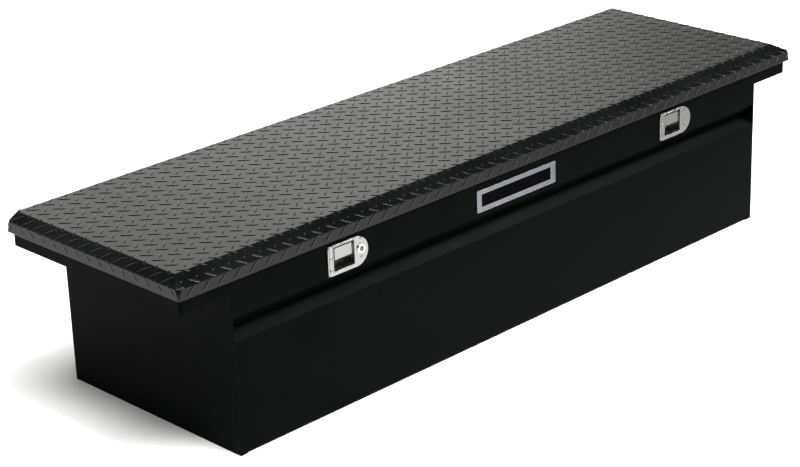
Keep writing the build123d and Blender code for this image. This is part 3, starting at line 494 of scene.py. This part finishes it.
def guard_planes(sides):
    """The corner facets of the sheet, and the outer skirts, as planes that no bar may pass."""
    front = sides["front"]
    guards = []
    for end in ("left", "right"):
        for long_side in ("front", "rear"):
            a, b = sides[end], sides[long_side]

            def corner_point(reach, cut, z):
                return (Vector((reach(a) + a.inward * cut, reach(b), z)),
                        Vector((reach(a), reach(b) + b.inward * cut, z)))

            low = corner_point(lambda s: s.skirt, CORNER_LOW, front.bottom)
            middle = corner_point(lambda s: s.skirt, CORNER_TOP, front.shoulder)
            high = corner_point(lambda s: s.flat_edge, CORNER_FLAT, front.top)
            for lower, upper in ((low, middle), (middle, high)):
                normal = (lower[1] - lower[0]).cross(upper[0] - lower[0]).normalized()
                if normal.x * a.inward > 0:
                    normal.negate()
                guards.append((upper[0] + normal * GUARD_GAP, normal))
    for name, side in sides.items():
        outward = Vector((-side.inward, 0, 0)) if name in ("left", "right") else Vector((0, -side.inward, 0))
        guards.append((outward * abs(side.skirt) + outward * SKIRT_LIMIT * BAR_HEIGHT, outward))
        slope_normal = outward * sin(side.bevel_slope) + Vector((0, 0, cos(side.bevel_slope)))
        flat_corner = outward * abs(side.flat_edge) + Vector((0, 0, side.top))
        guards.append((flat_corner + slope_normal * BEVEL_LIMIT * BAR_HEIGHT, slope_normal))
    return guards


def cut_bar(shape, point, normal):
    """The part of a bar behind a plane, with its cut end closed."""
    bmesh.ops.bisect_plane(shape, geom=shape.verts[:] + shape.edges[:] + shape.faces[:], dist=ON_PLANE,
                           plane_co=point, plane_no=normal, clear_outer=True)
    bmesh.ops.holes_fill(shape, edges=[e for e in shape.edges if e.is_boundary], sides=0)


def sides_under(sides, centre_x, centre_y, u):
    """The sides a bar folds over, two at a corner, and whether its middle is past the flat's edge there."""
    left, right, front, rear = (sides[n] for n in ("left", "right", "front", "rear"))
    off_left, off_right = left.flat_edge - centre_x, centre_x - right.flat_edge
    off_front, off_rear = front.flat_edge - centre_y, centre_y - rear.flat_edge
    end = "left" if off_left > off_right else "right"
    long_side = "front" if off_front > off_rear else "rear"
    on_end = max(off_left, off_right) > 0
    on_long = max(off_front, off_rear) > 0
    crosses_end = u.min() < left.flat_edge or u.max() > right.flat_edge
    if on_end and on_long:
        return (long_side, True), (end, True)
    if on_end or (crosses_end and not on_long):
        return ((end, on_end),)
    return ((long_side, on_long),)


def trimmed_bar(placed, faces, cuts):
    """A bar's points and faces behind all the planes; none if it is wholly past one."""
    outside = [(placed - np.array(p)) @ np.array(n) for p, n in cuts]
    if any(d.min() > -CLEAR for d in outside):
        return [], []
    crossed = [cut for cut, d in zip(cuts, outside) if d.max() > TOUCH]
    if not crossed:
        return [tuple(p) for p in placed], faces
    piece = bmesh.new()
    corners = [piece.verts.new(p) for p in placed]
    for f in faces:
        piece.faces.new([corners[i] for i in f])
    for point, normal in crossed:
        cut_bar(piece, point, normal)
    piece.verts.index_update()
    points = [tuple(p.co) for p in piece.verts]
    polygons = [tuple(p.index for p in f.verts) for f in piece.faces]
    piece.free()
    return points, polygons


def tread_bars(sides):
    """All the raised bars, folded over the bevels and skirts with the sheet."""
    shape, faces = bar_template()
    along = shape[:, 0] * BAR_LENGTH / 2
    across = shape[:, 1] * BAR_WIDTH / 2
    height = shape[:, 2]
    planes = corner_planes(sides)
    guards = guard_planes(sides)
    points, polygons = [], []
    for centre_x, centre_y, angle in bar_centres(sides):
        u = centre_x + along * cos(angle) - across * sin(angle)
        v = centre_y + along * sin(angle) + across * cos(angle)
        for name, past_edge in sides_under(sides, centre_x, centre_y, u):
            side = sides[name]
            if name in ("left", "right"):
                x, z = side.place((side.flat_edge - u) * side.inward, height)
                y, outward = v, -1
            else:
                y, z = side.place((side.flat_edge - v) * side.inward, height)
                x, outward = u, 1
            cuts = [(Vector((0, 0, side.bottom)), Vector((0, 0, -1)))] + guards
            if past_edge:
                cuts += [(point, normal * outward) for corner, (point, normal) in planes.items() if name in corner]
            bar_points, bar_faces = trimmed_bar(np.stack([x, y, z], axis=1), faces, cuts)
            start = len(points)
            points.extend(bar_points)
            polygons.extend(tuple(start + i for i in f) for f in bar_faces)
    return points, polygons


def add_piece(name, mesh, body, material, replaced=()):
    """Puts a mesh into the scene, on its body, in place of the CAD nodes it stands for."""
    piece = bpy.data.objects.new(name, mesh)
    scene.collection.objects.link(piece)
    mesh.materials.clear()
    mesh.materials.append(material)
    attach(piece, body)
    if replaced:
        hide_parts(*replaced)
    return piece


def smooth_mesh(mesh, angle):
    """Smooth shading with edges sharper than the angle kept."""
    mesh.polygons.foreach_set("use_smooth", [True] * len(mesh.polygons))
    mesh.set_sharp_from_angle(angle=angle)
    mesh.update()


def make_tread_lid(material):
    sides = lid_sides()
    points, polygons = tread_bars(sides)
    bars = bpy.data.meshes.new("bars")
    bars.from_pydata(points, [], polygons)
    shell = lid_sheet(sides)
    shell.from_mesh(bars)
    bmesh.ops.recalc_face_normals(shell, faces=shell.faces)
    mesh = bpy.data.meshes.new("tread_lid_skin")
    shell.to_mesh(mesh)
    shell.free()
    bpy.data.meshes.remove(bars)
    smooth_mesh(mesh, SHARP_ANGLE)
    for face in mesh.polygons:
        if face.area > FLAT_AREA:
            face.use_smooth = False
    add_piece("tread_lid_skin", mesh, "lid", material, ["lid_skin"])


# ---------------------------------------------------------------- studio
FLOOR_HALF = 30.0
# grey of the painted shade on the floor off to the front right
FLOOR_SHADE_GREY = (0.2, 0.2, 0.2)
FRONT_LEVEL = 0.10             # the studio's brightness in front of the box
BACKDROP_LEVEL = 1.53          # and low down behind it


def make_floor():
    """A pale floor, a little uneven in tone, with painted shade greying it off to the front right."""
    mesh = bpy.data.meshes.new("floor")
    corners = [(-FLOOR_HALF, -FLOOR_HALF, 0), (FLOOR_HALF, -FLOOR_HALF, 0),
               (FLOOR_HALF, FLOOR_HALF, 0), (-FLOOR_HALF, FLOOR_HALF, 0)]
    mesh.from_pydata(corners, [], [(0, 1, 2, 3)])
    floor_piece = bpy.data.objects.new("floor", mesh)
    scene.collection.objects.link(floor_piece)
    material, tree, shader, place = new_material("floor_paper")
    tone = remap(tree, noise(tree, place, 0.8, 2.0), 0, 1)
    colour = blend_colours(tree, tone, (0.74, 0.74, 0.735), (0.77, 0.77, 0.765))
    x, y, _ = split_axes(tree, place)
    # painted shade: the floor greyed off to the front right
    front_right_shade = product(tree, ramp_between(tree, x, -0.3, 1.3, 0, 0.85), ramp_between(tree, y, -0.8, -0.35, 1, 0))
    tree.links.new(blend_colours(tree, front_right_shade, colour, FLOOR_SHADE_GREY), shader.inputs["Base Color"])
    shader.inputs["Roughness"].default_value = 0.9
    shader.inputs["Specular IOR Level"].default_value = 0.1
    mesh.materials.append(material)


def make_world():
    """A studio with a bright low backdrop behind the box, dark above and in front."""
    world = bpy.data.worlds.new("studio")
    scene.world = world
    world.use_nodes = True
    tree = world.node_tree
    tree.nodes.clear()
    output = tree.nodes.new("ShaderNodeOutputWorld")
    background = tree.nodes.new("ShaderNodeBackground")
    place = tree.nodes.new("ShaderNodeTexCoord")
    x, y, z = split_axes(tree, place.outputs["Generated"])
    level = ramp_between(tree, y, 0.0, 0.45, FRONT_LEVEL, BACKDROP_LEVEL)
    changes = ((z, 0.46, 0.58, 0.015),    # dark above
               (x, 0.54, 0.66, 1.35),     # a brighter strip to the right
               (x, 0.66, 0.80, 0.14))     # and dark beyond it
    for axis, start, end, share in changes:
        level = product(tree, level, ramp_between(tree, axis, start, end, 1.0, share))
    tree.links.new(level, background.inputs["Strength"])
    background.inputs["Color"].default_value = (0.99, 1.0, 0.96, 1)
    tree.links.new(background.outputs["Background"], output.inputs["Surface"])


def softbox(name, position, target, width, height, power):
    """A rectangular light aimed at a point."""
    data = bpy.data.lights.new(name, "AREA")
    data.shape = "RECTANGLE"
    data.size, data.size_y = width, height
    data.energy = power
    light = bpy.data.objects.new(name, data)
    scene.collection.objects.link(light)
    aim = Vector(target) - Vector(position)
    light.location = position
    light.rotation_euler = aim.to_track_quat("-Z", "Y").to_euler()


def make_lights():
    softbox("key", (0.1, -2.4, 5.0), (0.0, 0.0, 0.2), 2.2, 2.0, 420)
    softbox("right", (3.8, -2.3, 4.1), (0.0, -0.2, 0.2), 1.8, 1.6, 240)
    softbox("overhead", (-1.6, -1.2, 6.0), (0, 0, 0), 3.4, 3.0, 620)


# ---------------------------------------------------------------- dress the CAD nodes
def dress():
    finishes = {
        "black_powder_coat": powder_coat("powder_coat", (0.0009, 0.0012, 0.0012), (0.0015, 0.0018, 0.0018),
                                         gloss=0.40, specular=0.013),
        "black_tread_plate": tread_finish("tread_paint"),
        "black_rubber": rubber("rubber"),
        "hinge_steel": metal("hinge_steel", (0.32, 0.32, 0.33), 0.28, 0.42, grain=(0.15, 6, 6)),
        "rivet_aluminium": metal("rivet_aluminium", (0.20, 0.20, 0.21), 0.25, 0.4),
        "polished_stainless": metal("stainless", STAINLESS, 0.12, 0.24, POLISH_GRAIN, POLISH_SCALE),
        "zinc_plated_steel": metal("zinc", (0.58, 0.60, 0.62), 0.22, 0.38),
        "chrome_plate": metal("chrome", (0.86, 0.86, 0.87), 0.05, 0.1),
        "nameplate_aluminium": plate_metal("nameplate"),
        "strut_black": powder_coat("strut_paint", (0.006, 0.006, 0.006), (0.009, 0.009, 0.009),
                                   gloss=0.2, specular=0.5, edge=STRUT_EDGE),
        "strut_plastic": powder_coat("strut_plastic", (0.012, 0.012, 0.012), (0.02, 0.02, 0.02),
                                     gloss=0.5, specular=0.4, edge=STRUT_EDGE),
    }
    for row in frame["record"]["subparts"]:
        mesh = nodes[row["node"]].data
        mesh.materials.clear()
        mesh.materials.append(finishes[row["material_slot"]])
    dish = dish_metal("stainless_dish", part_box("latch_gasket_left")[0].y - PLATE_SHEET)
    for side in ("left", "right"):
        nodes[f"latch_dish_{side}"].data.materials[0] = dish
        paddle = f"paddle_{side}"
        nodes[paddle].data.materials[0] = paddle_metal(paddle + "_metal", paddle)
    # the lock plug is the chrome darkened: painted shade of the recess it sits in
    nodes["lock_plug"].data.materials[0] = metal("lock_plug_chrome_painted_shade", (0.16, 0.16, 0.16), 0.1, 0.2)
    return finishes


make_camera()
make_world()
make_lights()
make_floor()
finishes = dress()
make_tread_lid(finishes["black_tread_plate"])
